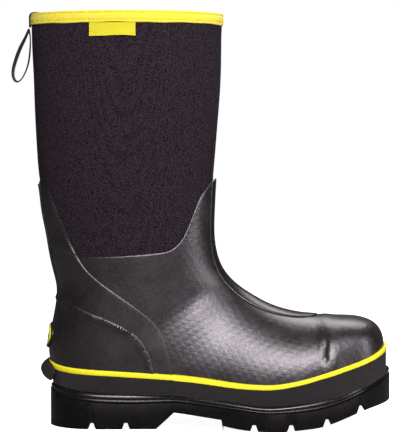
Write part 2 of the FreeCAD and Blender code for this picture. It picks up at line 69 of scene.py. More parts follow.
# station, outer and inner half width, shift, widest point, squareness of the front and back
SHAPE = [(0.00, 47.0, 47.0, 0.0, 0.50, 2.0, 2.0),
         (0.55, 44.5, 44.5, 0.0, 0.50, 2.0, 2.0),
         (1.00, 41.0, 41.0, 0.0, 0.50, 2.0, 2.0),
         (1.18, 38.5, 38.5, 0.0, 0.50, 2.0, 2.1),
         (1.33, 38.0, 38.0, 0.0, 0.52, 2.0, 2.3),
         (1.41, 38.2, 38.2, 0.0, 0.58, 2.0, 2.8),
         (1.47, 38.6, 38.6, 0.0, 0.62, 2.0, 4.2),
         (1.55, 40.5, 40.0, 0.0, 0.66, 1.9, 4.6),
         (1.65, 45.0, 43.0, 0.0, 0.69, 1.9, 4.6),
         (1.78, 52.0, 49.5, 0.6, 0.71, 1.9, 4.6),
         (1.90, 53.5, 53.0, 1.2, 0.70, 2.0, 4.6),
         (2.00, 51.0, 53.0, 2.2, 0.67, 2.3, 4.6),
         (3.00, 46.0, 51.0, 5.0, 0.55, 2.5, 4.6)]
TOE_TOP, TOE_PLAN, TOE_SOLE = 3.6, 2.6, 8.0

WELT_TOP = [(-40, 44), (3, 40), (22, 37.5), (45, 35.2), (95, 34), (122, 34), (146, 31.5),
            (184, 26.5), (209, 24), (236, 26), (264, 30.4), (291, 38.4), (318, 49.6), (345, 62)]
OUTSOLE_TOP = [(-40, 50), (2, 35), (20, 29.4), (45, 25.8), (95, 24.5), (122, 25.5), (146, 23.5),
               (184, 19.5), (209, 17.2), (236, 18.2), (264, 21.6), (291, 29.6), (318, 41), (345, 54)]
STRIPE_LINE = [(-40, 68), (-2, 61.5), (11, 57.5), (46, 54.4), (87, 52), (128, 49.2), (154, 46.4),
               (180, 43), (202, 41.5), (220, 42), (247, 47.2), (267, 53), (287, 59), (308, 66.4),
               (326, 75), (345, 86)]
VAMP_TOP = [(163, 241), (155, 234), (147.5, 224.5), (141.6, 212), (133.6, 192), (127.5, 180.5),
            (119, 172), (107, 168.6), (68, 165.6), (30, 165.3), (-12, 170), (-40, 174)]
COUNTER_EDGE = [(-30, 240), (-13, 238), (-3, 229.5), (6.3, 209.5), (13.6, 193.6), (26, 169),
                (37.5, 152.2), (49.6, 141.5), (68.2, 128.2), (88.3, 113.5), (102.5, 101),
                (110, 89.5), (115, 76), (118.5, 62), (120.5, 44), (122, 10)]
HEEL_CUP_EDGE = [(-30, 131), (5, 128.5), (20, 121.5), (36, 114), (50, 108.6), (63, 103.4),
                 (75, 97.2), (85, 90.6), (92, 82.4), (97, 73), (100.6, 63), (102.5, 50), (103.5, 30)]
OUTSOLE_EDGE = [(0, 0), (6, -24), (24, -40), (52, -45), (90, -43.5), (125, -45), (165, -54),
                (205, -61.5), (240, -61), (275, -53), (305, -37), (325, -15), (332.5, 6),
                (328, 27), (311, 46), (280, 58.5), (245, 62), (210, 57), (170, 47), (125, 41.5),
                (90, 42), (52, 44.5), (24, 40), (6, 24)]
SPINE_PLAN = [(130, -11.5), (152, -12), (180, -14.5), (205, -17), (232, -15.5), (252, -10.5), (261, 0),
              (252, 10.5), (232, 15.5), (205, 17), (180, 14.5), (152, 12), (130, 11.5)]
LOOP_LINE = [(-20.6, 384.4), (-24.0, 376.2), (-29.0, 366.3), (-33.8, 353.8), (-36.2, 344.5),
             (-35.7, 337.0), (-32.6, 333.4), (-28.9, 335.2), (-25.2, 340.8), (-22.2, 348.3),
             (-20.3, 357), (-19.5, 366), (-19.3, 376), (-20.6, 384.4)]

# layers, measured outwards from the neoprene's surface
NEOPRENE, LINING = 4.5, 2.2
VAMP, COUNTER, HEEL_CUP, SPINE, BACK_STRIP = 2.0, 1.8, 1.2, 1.6, 1.4
FOXING, STRIPE, STRIPE_WIDTH = 6.2, 6.6, 4.8
CAP_START, CAP_STEP, CAP_BUMP = 270.0, 14.0, 2.2
COUNTER_TOP_TAPER = 1.3
BINDING_LOW, BINDING_OUT = 387.7, 1.7
STITCH_ROWS = (390.3, 397.2)
BADGE_Z, BADGE, BADGE_RING = 86.5, 2.0, 1.1

# ---- camera ------------------------------------------------------------------------------
CAMERA_DISTANCE = 1600.0
CAMERA_HEIGHT = 260.0
VIEW_HEIGHT = 422.064  # what the camera sees from top to bottom, at the middle of the boot
AIM = (146.0, 202.4)
SENSOR = 36.0
ROOM_LIGHT = 0.09  # the background is white to the camera, and this bright as a light
FLOOR_COLOR = (0.92, 0.92, 0.92)
FLOOR_GLOW = 0.96
FLOOR_BOUNCE = 0.3  # how much of the floor's paleness lights the boot
LIGHT_COLOR = (1.0, 0.93, 0.985)
# name, place, aim, size (all metres in the frame) and power in watts
LIGHTS = [("key", (0.14, -1.31, 0.98), (0, 0, 0.12), (0.95, 0.6), 34),
          ("side", (1.35, -0.75, 0.60), (0.02, 0, 0.2), (0.3, 1.2), 10),
          ("top", (0.30, 0.60, 1.20), (0.08, 0, 0.12), (0.9, 0.7), 12)]


def to_row(points):
    """Millimetres from the heel to metres in the frame."""
    p = np.asarray(points, float) * MM
    return p + np.array([HEEL_X, 0.0, 0.0])


# ---- curves ------------------------------------------------------------------------------
def smooth_line(points, step=1.0, closed=False):
    """A smooth curve through points, as a dense line of points."""
    p = np.array(points, float)
    if closed:
        p = np.vstack([p[-4:], p, p[:5]])
    t = np.r_[0, np.cumsum(np.sqrt(np.linalg.norm(np.diff(p, axis=0), axis=1)))]
    h, n = np.diff(t), len(t)
    a, r = np.eye(n), np.zeros_like(p)
    for i in range(1, n - 1):
        a[i, i - 1:i + 2] = h[i - 1], 2 * (h[i - 1] + h[i]), h[i]
        r[i] = 6 * ((p[i + 1] - p[i]) / h[i] - (p[i] - p[i - 1]) / h[i - 1])
    m = np.linalg.solve(a, r)
    out = []
    for i in range(n - 1):
        count = max(2, int(np.linalg.norm(p[i + 1] - p[i]) / step))
        f = (np.arange(count) / count)[:, None]
        e = 1 - f
        out.append(e * p[i] + f * p[i + 1]
                   + ((e**3 - e) * m[i] + (f**3 - f) * m[i + 1]) * h[i] ** 2 / 6)
        if closed and i == 3:
            begin = sum(len(o) for o in out)
        if closed and i == n - 6:
            return np.vstack(out)[begin:]
    return np.vstack(out + [p[-1:]])


def height_on(line, x):
    order = np.argsort(line[:, 0])
    return np.interp(x, line[order, 0], line[order, 1])


def smoothstep(low, high, at):
    t = np.clip((at - low) / (high - low), 0, 1)
    return t * t * (3 - 2 * t)


def station(p):
    """Where along the leg and foot side-view points are, and how far from the pivot."""
    x, z = p[:, 0], p[:, 1]
    s = np.where(z >= PIVOT_Z, (SECTION_TOP - z) / (SECTION_TOP - PIVOT_Z),
                 np.where(x <= PIVOT_X, 1 + np.arctan2(PIVOT_Z - z, PIVOT_X - x) / (math.pi / 2),
                          2 + (x - PIVOT_X) / (TOE_X - PIVOT_X)))
    d = np.where(z >= PIVOT_Z, PIVOT_X - x,
                 np.where(x <= PIVOT_X, np.hypot(PIVOT_X - x, PIVOT_Z - z), PIVOT_Z - z))
    return s, d


FRONT_WALL = station(smooth_line(FRONT))
BACK_WALL = station(smooth_line(BACK))
SHAPE_AT = np.linspace(0, 3, 601)
rows = np.array(SHAPE)
slopes = np.gradient(rows[:, 1:], rows[:, 0], axis=0)
SHAPE_VALUES = np.zeros((601, 6))
for k in range(6):
    i = np.clip(np.searchsorted(rows[:, 0], SHAPE_AT, "right") - 1, 0, len(rows) - 2)
    h = rows[i + 1, 0] - rows[i, 0]
    t = (SHAPE_AT - rows[i, 0]) / h
    SHAPE_VALUES[:, k] = ((2 * t**3 - 3 * t**2 + 1) * rows[i, k + 1]
                          + (t**3 - 2 * t**2 + t) * h * slopes[i, k]
                          + (3 * t**2 - 2 * t**3) * rows[i + 1, k + 1]
                          + (t**3 - t**2) * h * slopes[i + 1, k])


def surface(s, a, off):
    """Points on the leg and foot, off millimetres outside the neoprene."""
    s, a, off = np.broadcast_arrays(np.asarray(s, float), a, off)
    toe = np.clip(s - 2, 0, 0.99999)
    front = np.interp(s, *FRONT_WALL)
    back = np.interp(s, *BACK_WALL)
    outer, inner, shift, widest, fp, bp = (np.interp(s, SHAPE_AT, SHAPE_VALUES[:, k]) for k in range(6))
    top, plan, sole = ((1 - toe**b) ** (1 / b) for b in (TOE_TOP, TOE_PLAN, TOE_SOLE))
    middle = front + widest * (back - front)
    c, w = np.cos(a), np.sin(a)
    power = np.where(c > 0, fp, bp)
    size = (np.abs(c) ** power + np.abs(w) ** power) ** (-1 / power)
    length = np.where(c > 0, (middle - front + off) * top, (back - middle + off) * sole)
    along = middle - size * c * length
    y = shift + size * w * (np.where(w > 0, inner, outer) + off) * plan
    fan = (np.clip(s, 1, 2) - 1) * math.pi / 2
    x = np.where(s <= 1, PIVOT_X - along,
                 np.where(s < 2, PIVOT_X - along * np.cos(fan), PIVOT_X + toe * (TOE_X - PIVOT_X + off)))
    z = np.where(s <= 1, SECTION_TOP - s * (SECTION_TOP - PIVOT_Z),
                 np.where(s < 2, PIVOT_Z - along * np.sin(fan), PIVOT_Z - along))
    return np.stack([x, y, z], -1)


# ---- fields: how far inside a panel's edge a point is ------------------------------------
def side_distance(points, line):
    """Signed distance in side view from a curve that runs on level at its ends; + is above."""
    line = smooth_line(line, 2.0)
    line = line[np.argsort(line[:, 0])]
    line = np.vstack([[-500, line[0, 1]], line, [700, line[-1, 1]]])
    q = points[:, [0, 2]]
    best = np.full(len(q), 1e9)
    for a, b in zip(line[:-1], line[1:]):
        d = b - a
        t = np.clip(((q - a) @ d) / (d @ d), 0, 1)
        best = np.minimum(best, np.linalg.norm(q - a - t[:, None] * d, axis=1))
    return best * np.sign(q[:, 1] - np.interp(q[:, 0], line[:, 0], line[:, 1]))


def above(line, by=0.0):
    return lambda p: side_distance(p, [(x, z + by) for x, z in line])


def below(line, by=0.0):
    return lambda p: -side_distance(p, [(x, z + by) for x, z in line])


def plan_distance(points, loop):
    """Signed distance in plan from a closed line; + is inside."""
    q = points[:, :2]
    best, inside = np.full(len(q), 1e9), np.zeros(len(q), bool)
    for a, b in zip(loop, np.roll(loop, -1, 0)):
        d = b - a
        t = np.clip(((q - a) @ d) / max(d @ d, 1e-9), 0, 1)
        best = np.minimum(best, np.linalg.norm(q - a - t[:, None] * d, axis=1))
        if a[1] != b[1]:
            hit = (a[1] > q[:, 1]) != (b[1] > q[:, 1])
            inside ^= hit & (q[:, 0] < a[0] + (q[:, 1] - a[1]) * d[0] / d[1])
    return np.where(inside, best, -best)


# ---- triangle sheets over the surface ------------------------------------------------------
def make_grid(stations, angles, round_=True, tip=False):
    """Parameters (station, angle) and triangles of a grid over the surface."""
    n = len(angles)
    par = np.array([(s, a) for s in stations for a in angles])
    tri = []
    for i in range(len(stations) - 1):
        for k in range(n if round_ else n - 1):
            a, b = i * n + k, i * n + (k + 1) % n
            c, d = b + n, a + n
            tri += [(a, d, c), (a, c, b)] if (i + k) % 2 else [(a, d, b), (b, d, c)]
    if tip:
        o = (len(stations) - 1) * n
        for k in range(n // 2 - 1):
            a, b, c, d = o + k, o + k + 1, o + n - 2 - k, o + n - 1 - k
            tri += [(a, c, b), (a, d, c)]
    return par, np.array(tri)


def full_grid(s0=0.0, s1=3.0, step=2.4, around=168):
    s = []
    if s0 < 1:
        s += list(np.linspace(s0, min(s1, 1), max(2, int((min(s1, 1) - s0) * 176 / step)), endpoint=s1 <= 1))
    if s1 > 1 and s0 < 2:
        a, b = max(s0, 1), min(s1, 2)
        s += list(np.linspace(a, b, int((b - a) * 300 / step), endpoint=s1 <= 2))
    if s1 > 2:
        s += list(2 + (1 - (1 - np.linspace(0, 1, 26)[:-1]) ** 2.6) * 0.9999) + [2.9999]
    angles = 2 * np.pi * (np.arange(around) + 0.5) / around
    return make_grid(s, angles, True, s1 > 2)


def split(par, tri, field, level, base):
    """Cut the triangles along field = level; returns parameters, triangles and values."""
    value = field(surface(par[:, 0], par[:, 1], base)) - level
    value[np.abs(value) < 0.06] = 0.0
    e = np.sort(np.vstack([tri[:, [0, 1]], tri[:, [1, 2]], tri[:, [2, 0]]]), axis=1)
    e, back = np.unique(e, axis=0, return_inverse=True)
    back = back.reshape(3, -1)
    va, vb = value[e[:, 0]], value[e[:, 1]]
    hit = np.where(va * vb < 0)[0]
    pa, pb = par[e[hit, 0]], par[e[hit, 1]].copy()
    turn = pb[:, 1] - pa[:, 1]
    pb[:, 1] -= np.round(turn / (2 * np.pi)) * 2 * np.pi
    lo, hi = np.zeros(len(hit)), np.ones(len(hit))
    flo, fhi = va[hit].copy(), vb[hit].copy()
    for _ in range(5):
        t = lo + (hi - lo) * np.clip(flo / (flo - fhi), 0.05, 0.95)
        q = pa + (pb - pa) * t[:, None]
        f = field(surface(q[:, 0], q[:, 1], base)) - level
        same = f * flo > 0
        lo, flo = np.where(same, t, lo), np.where(same, f, flo)
        hi, fhi = np.where(same, hi, t), np.where(same, fhi, f)
    t = lo + (hi - lo) * np.clip(flo / (flo - fhi + 1e-12), 0, 1)
    new = np.full(len(e), -1)
    new[hit] = len(par) + np.arange(len(hit))
    par = np.vstack([par, pa + (pb - pa) * t[:, None]])
    value = np.r_[value, np.zeros(len(hit))]
    out = []
    for f, (i, j, k) in enumerate(tri):
        m = new[back[:, f]]  # new vertices on edges ij, jk, ki
        cut = m >= 0
        if not cut.any():
            out.append((i, j, k))
        elif cut.sum() == 2:
            if not cut[0]:
                i, j, k, m = k, i, j, (m[2], m[0], m[1])
            elif not cut[2]:
                i, j, k, m = j, k, i, (m[1], m[2], m[0])
            # now edges ij (m0) and ki (m2) are cut: i is alone
            if m[0] < 0 or m[2] < 0:
                i, j, k, m = j, k, i, (m[1], m[2], m[0])
            out += [(i, m[0], m[2]), (m[0], j, k), (m[0], k, m[2])]
        else:
            while m[0] < 0:
                i, j, k, m = j, k, i, (m[1], m[2], m[0])
            out += [(i, m[0], k), (m[0], j, k)]
    return par, np.array(out), value


def panel(fields, base=0.0, **grid):
    """A sheet of triangles cut to the panel's edges, each a (field, rounding) pair."""
    par, tri = make_grid(*grid["own"], False) if "own" in grid else full_grid(**grid)
    for field, rounding in fields:
        par, tri, value = split(par, tri, field, 0.0, base)
        tri = tri[(value[tri].min(1) >= 0) & (value[tri].max(1) > 0)]
        if rounding:
            for share in (0.12, 0.4, 1.0):
                par, tri, _ = split(par, tri, field, share * rounding, base)
        used, tri = np.unique(tri, return_inverse=True)
        par, tri = par[used], tri.reshape(-1, 3)
    return par, tri


def add_mesh(name, points, faces, mat, sharp=38, uv=None):
    """A mesh object with its faces outwards, in the frame's metres."""
    volume = sum(points[f[0]] @ np.cross(points[f[k]], points[f[k + 1]])
                 for f in faces for k in range(1, len(f) - 1))
    if volume < 0:
        faces = [tuple(f)[::-1] for f in faces]
    mesh = bpy.data.meshes.new(name)
    mesh.from_pydata(to_row(points).tolist(), [], [tuple(int(i) for i in f) for f in faces])
    mesh.validate()
    mesh.shade_smooth()
    mesh.set_sharp_from_angle(angle=math.radians(sharp))
    obj = bpy.data.objects.new(name, mesh)
    bpy.context.collection.objects.link(obj)
    if mat:
        mesh.materials.append(mat)
    if uv is not None:
        layer = mesh.uv_layers.new(name="UVMap")
        index = np.zeros(len(mesh.loops), int)
        mesh.loops.foreach_get("vertex_index", index)
        wanted = np.array(uv, float)[index]
        for f in mesh.polygons:
            u = wanted[f.loop_start:f.loop_start + f.loop_total, 0]
            if np.ptp(u) > 300:
                u[u < 300] += EDGE_LENGTH
        layer.data.foreach_set("uv", (wanted * MM).ravel())
    return obj


def shell(name, mat, base, thick, fields, relief=None, lip=0.4, under=0.1, uv=None, sharp=38, **grid):
    """A closed panel: its inner face lies at base and its outer face is rounded off at the edges."""
    par, tri = panel(fields, base(np.zeros((1, 3)))[0] if callable(base) else base, **grid)
    s, a = par.T
    flat = surface(s, a, 0.0)
    low = base(flat) if callable(base) else np.full(len(s), float(base))
    mid = surface(s, a, low)
    shape = np.ones(len(s))
    for field, rounding in fields:
        if rounding:
            t = np.clip(field(mid) / rounding, 0, 1)
            shape = np.minimum(shape, lip + (1 - lip) * np.sqrt(np.clip(1 - (1 - t) ** 2, 0, 1)))
    high = low + (thick(mid) if callable(thick) else thick) * shape
    if relief is not None:
        high = high + relief(mid) * shape
    outer, inner = surface(s, a, high), surface(s, a, low - under)
    n = len(s)
    edges = {}
    for f in tri:
        for i, j in ((f[0], f[1]), (f[1], f[2]), (f[2], f[0])):
            edges[(i, j)] = True
    border = [(i, j) for i, j in edges if (j, i) not in edges]
    faces = [tuple(f) for f in tri] + [(f[0] + n, f[2] + n, f[1] + n) for f in tri]
    faces += [(j, i, i + n, j + n) for i, j in border]
    points = np.vstack([outer, inner])
    return add_mesh(name, points, faces, mat, sharp, None if uv is None else uv(points))


EDGE = smooth_line(OUTSOLE_EDGE, 2.0, closed=True)
EDGE_ARC = np.r_[0, np.cumsum(np.linalg.norm(np.diff(np.vstack([EDGE, EDGE[:1]]), axis=0), axis=1))]
EDGE_LENGTH = EDGE_ARC[-1]
WELT_LINE, OUTSOLE_LINE = smooth_line(WELT_TOP), smooth_line(OUTSOLE_TOP)


def edge_uv(points):
    """Length round the boot, and height above the welt."""
    near = np.array([np.argmin(np.sum((EDGE - p[:2]) ** 2, axis=1)) for p in points])
    tangent = np.roll(EDGE, -1, 0)[near] - EDGE[near]
    extra = np.sum((points[:, :2] - EDGE[near]) * tangent, 1) / np.linalg.norm(tangent, axis=1)
    return np.stack([EDGE_ARC[near] + extra, points[:, 2] - height_on(WELT_LINE, points[:, 0])], 1)


# ---- materials ---------------------------------------------------------------------------
class Paint:
    """A procedural material built up from a few nodes."""

    def __init__(self, name, color, roughness, **constants):
        self.m = bpy.data.materials.new(name)
        self.m.use_nodes = True
        self.tree = self.m.node_tree
        self.shader = self.tree.nodes["Principled BSDF"]
        self.color = color
        self.set("Base Color", (*color, 1))
        self.set("Roughness", roughness)
        for key, value in constants.items():
            self.set(key.replace("_", " "), value)
        self.where = self.add("ShaderNodeTexCoord").outputs["Object"]
        self.normal = None

    def set(self, socket, value):
        self.shader.inputs[socket].default_value = value

    def add(self, kind, **settings):
        node = self.tree.nodes.new(kind)
        for key, value in settings.items():
            setattr(node, key, value)
        return node

    def put(self, node, **links):
        for key, value in links.items():
            socket = node.inputs[key.replace("_", " ")]
            if hasattr(value, "links"):
                self.tree.links.new(value, socket)
            else:
                socket.default_value = value
        return node

    def use_uv(self):
        self.where = self.add("ShaderNodeTexCoord").outputs["UV"]
        return self

    def stretch(self, scale, rotation=(0, 0, 0)):
        node = self.add("ShaderNodeMapping")
        self.put(node, Vector=self.where, Scale=scale, Rotation=rotation)
        return node.outputs["Vector"]

    def noise(self, scale, detail=2.0, roughness=0.6, vector=None):
        node = self.add("ShaderNodeTexNoise")
        self.put(node, Vector=vector or self.where, Scale=scale, Detail=detail, Roughness=roughness)
        return node.outputs["Fac"]

    def cells(self, scale, randomness=1.0, vector=None, feature="F1", smooth=None):
        node = self.add("ShaderNodeTexVoronoi", feature=feature)
        self.put(node, Vector=vector or self.where, Scale=scale, Randomness=randomness)
        if smooth is not None:
            self.put(node, Smoothness=smooth)
        return node.outputs["Distance"]

    def math(self, operation, a, b=0.0):
        node = self.add("ShaderNodeMath", operation=operation)
        for socket, value in zip(node.inputs, (a, b)):
            if hasattr(value, "links"):
                self.tree.links.new(value, socket)
            else:
                socket.default_value = value
        return node.outputs[0]

    def ramp(self, value, low, high, to_low=0.0, to_high=1.0):
        node = self.add("ShaderNodeMapRange")
        node.clamp = True
        for socket, v in zip(node.inputs[1:5], (low, high, to_low, to_high)):
            socket.default_value = v
        self.tree.links.new(value, node.inputs[0])
        return node.outputs[0]

    def tint(self, value, dark, light):
        """Base colour between two multiples of the paint's own colour."""
        node = self.add("ShaderNodeMix", data_type="RGBA")
        a, b = [tuple(min(c * f, 1) for c, f in zip(self.color, fs)) + (1,) for fs in (dark, light)]
        node.inputs[6].default_value = a
        node.inputs[7].default_value = b
        self.tree.links.new(value, node.inputs[0])
        self.tree.links.new(node.outputs[2], self.shader.inputs["Base Color"])
        return self

    def rough(self, value, low, high):
        self.tree.links.new(self.ramp(value, 0, 1, low, high), self.shader.inputs["Roughness"])
        return self

    def bump(self, height, strength, distance):
        node = self.add("ShaderNodeBump")
        self.put(node, Height=height, Strength=strength, Distance=distance * MM)
        if self.normal:
            self.tree.links.new(self.normal, node.inputs["Normal"])
        self.normal = node.outputs["Normal"]
        self.tree.links.new(self.normal, self.shader.inputs["Normal"])
        return self


def even(f):
    return (f, f, f)


def knit(name, color, pitch=1.0, sheen=0.25):
    p = Paint(name, color, 0.95, Sheen_Weight=sheen, Sheen_Roughness=0.6, Specular_IOR_Level=0.06)
    yarn = p.cells(1 / (pitch * MM), 0.75, p.stretch((1, 1, 0.8)))
    fleck = p.noise(1300, 3, 0.7)
    # The tone is random flecks, darkened towards each yarn cell's edge where the bump is low: painted shade
    # between the knit's loops.
    tone = p.math("MULTIPLY", fleck, p.ramp(yarn, 0, 0.8, 1.25, 0.6))
    p.tint(p.ramp(tone, 0.34, 0.66), even(0.3), even(2.3))
    return p.bump(p.math("SUBTRACT", fleck, yarn), 0.6, 0.45)


def grained(name, color, roughness, grain=1.1, depth=0.25, specular=0.45, lattice=False):
    """Moulded rubber with a pebble grain."""
    p = Paint(name, color, roughness, Specular_IOR_Level=specular)
    pebble = p.cells(1 / (grain * MM), 1.0, None, "SMOOTH_F1", 0.35)
    fine = p.noise(1100, 3, 0.75)
    p.bump(p.math("ADD", p.math("MULTIPLY", pebble, -1.0), p.math("MULTIPLY", fine, 1.1)), 0.9, depth)
    if lattice:
        turned = p.stretch((1, 0, 1), (0, 0.55, 0))
        dots = p.cells(1 / (6.4 * MM), 0.0, turned)
        p.bump(p.ramp(dots, 0.16, 0.42, 1.0, 0.0), 0.3, 0.2)
    cloud = p.noise(60, 3, 0.55)
    speck = p.noise(1000, 1, 0.5)
    p.rough(p.math("ADD", p.math("MULTIPLY", cloud, 0.35), p.math("MULTIPLY", speck, 0.65)),
            roughness - 0.2, roughness + 0.2)
    tone = p.math("ADD", p.math("MULTIPLY", cloud, 0.4), p.math("MULTIPLY", speck, 0.6))
    return p.tint(p.ramp(tone, 0.35, 0.65), even(0.3), even(2.3))


def plain(name, color, roughness, metallic=0.0, specular=0.5):
    p = Paint(name, color, roughness, Metallic=metallic, Specular_IOR_Level=specular)
    cloud = p.noise(120, 4, 0.6)
    p.rough(cloud, roughness - 0.08, roughness + 0.1)
    return p.tint(cloud, even(0.88), even(1.1)).bump(p.noise(1500, 2), 0.15, 0.1)


def woven(name, color, pitch, sheen=0.2):
    """A tight weave, along X and Z or in a strip's own length and width."""
    p = Paint(name, color, 0.85, Sheen_Weight=sheen, Specular_IOR_Level=0.2)
    p.use_uv()
    k = 2 * math.pi / (pitch * MM)
    split_ = p.add("ShaderNodeSeparateXYZ")
    p.put(split_, Vector=p.where)
    u, v = (p.math("SINE", p.math("MULTIPLY", split_.outputs[i], k)) for i in (0, 1))
    height = p.math("MULTIPLY", u, v)
    fleck = p.noise(1400, 2)
    # The tone mixes random flecks with painted shade: the weave's low places are painted darker.
    p.tint(p.ramp(p.math("ADD", p.math("MULTIPLY", height, 0.25), fleck), 0.2, 0.85), even(0.78), even(1.12))
    return p.bump(height, 0.6, 0.25)


def diamond(name, color, pitch):
    """Fine diamond knurling round the foot."""
    p = Paint(name, color, 0.55, Specular_IOR_Level=0.4)
    p.use_uv()
    split_ = p.add("ShaderNodeSeparateXYZ")
    p.put(split_, Vector=p.where)
    u, v = split_.outputs[0], split_.outputs[1]
    k = math.pi / (pitch * MM)
    waves = [p.math("ABSOLUTE", p.math("SINE", p.math("MULTIPLY", p.math(o, u, v), k)))
             for o in ("ADD", "SUBTRACT")]
    height = p.math("MINIMUM", *waves)
    # The grooves are painted darker and the ridges lighter, following the bump's height: painted shade and
    # painted highlight of the knurling.
    p.tint(p.ramp(height, 0.15, 0.75), even(0.4), even(2.2))
    return p.bump(p.ramp(height, 0.1, 0.8), 0.9, 0.5)


NEOPRENE_KNIT = knit("neoprene_knit", (0.0200, 0.0145, 0.0195), 1.0, 0.01).m
TAPE_KNIT = knit("seam_tape_knit", (0.0200, 0.0155, 0.0195), 0.6, 0.01).m
LINING_KNIT = knit("lining_knit", (0.035, 0.035, 0.038), 1.4, 0.3).m
VAMP_RUBBER = grained("vamp_rubber", (0.0070, 0.0054, 0.0062), 0.34, 1.2, 0.075, 0.72, True).m
COUNTER_RUBBER = grained("counter_rubber", (0.0062, 0.0050, 0.0054), 0.38, 1.0, 0.07, 0.65).m
CUP_RUBBER = grained("heel_cup_rubber", (0.0058, 0.0046, 0.0050), 0.38, 1.0, 0.07, 0.6).m
RIB_RUBBER = grained("rib_rubber", (0.0045, 0.0038, 0.0040), 0.30, 1.0, 0.03, 0.55).m
FOXING_RUBBER = diamond("foxing_rubber", (0.0080, 0.0070, 0.0068), 2.1).m
YELLOW_RUBBER = plain("yellow_rubber", (0.80, 0.74, 0.012), 0.5, 0.0, 0.35).m
BADGE_RUBBER = plain("badge_rubber", (0.012, 0.010, 0.010), 0.42).m
SPUR_RUBBER = plain("spur_rubber", (0.020, 0.014, 0.011), 0.55).m
WELT_RUBBER = plain("welt_rubber", (0.0030, 0.0027, 0.0030), 0.26, 0.0, 0.5).m
OUTSOLE_RUBBER = grained("outsole_rubber", (0.0026, 0.0023, 0.0026), 0.5, 0.9, 0.04, 0.14).m
BINDING_CLOTH = woven("binding_cloth", (0.84, 0.73, 0.055), 0.9).m
THREAD = plain("thread", (0.62, 0.52, 0.004), 0.8, 0.0, 0.2).m
TAG_CLOTH = woven("tag_cloth", (0.66, 0.62, 0.02), 0.7).m
WEBBING = woven("webbing", (0.012, 0.012, 0.0125), 1.1, 0.1).m
STEEL = plain("steel", (0.55, 0.56, 0.58), 0.35, 1.0).m
STIFFENER_PAINT = plain("stiffener", (0.25, 0.22, 0.18), 0.7).m
BOARD_PAINT = plain("board", (0.45, 0.38, 0.28), 0.85).m
FOAM = plain("filler_foam", (0.30, 0.30, 0.30), 0.9).m
EDGING = plain("edging", (0.03, 0.03, 0.03), 0.6).m
FOOTBED_CLOTH = knit("footbed_cloth", (0.05, 0.05, 0.055), 1.2, 0.3).m


# ---- panels ------------------------------------------------------------------------------
def finish_piece(obj, body, slot, *nodes):
    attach(obj, body)
    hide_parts(*nodes)
    return obj


def cap_bump(p):
    return CAP_BUMP * smoothstep(CAP_START - CAP_STEP, CAP_START, p[:, 0])


def back_taper(p):
    return COUNTER_TOP_TAPER * smoothstep(150, 200, p[:, 2]) * (1 - smoothstep(30, 90, p[:, 0]))


def under(z):
    return lambda p: z - p[:, 2]


def within_y(half):
    return lambda p: half - np.abs(p[:, 1])


def soft_wall(p):
    """The slight unevenness of the neoprene leg."""
    x, y, z = p.T
    wave = (0.35 * np.sin(z / 31 + x / 47) + 0.25 * np.sin(z / 17 - y / 29 + 1.3)
            + 0.15 * np.sin(x / 12 + z / 23))
    return wave * smoothstep(190, 240, z) * (1 - smoothstep(375, 392, z))


def toe_relief(p):
    """The crease behind the steel cap's edge, and a slight swell over it."""
    x, y, z = p.T
    side = smoothstep(22, 40, np.abs(y)) * smoothstep(60, 68, z) * (1 - smoothstep(76, 92, z))
    crease = -1.6 * np.exp(-((x - 265.5 - (z - 75) * 0.05) / 2.3) ** 2) * side
    swell = 0.5 * np.exp(-((x - 272.5) / 5.5) ** 2) * smoothstep(66, 88, z)
    return crease + swell


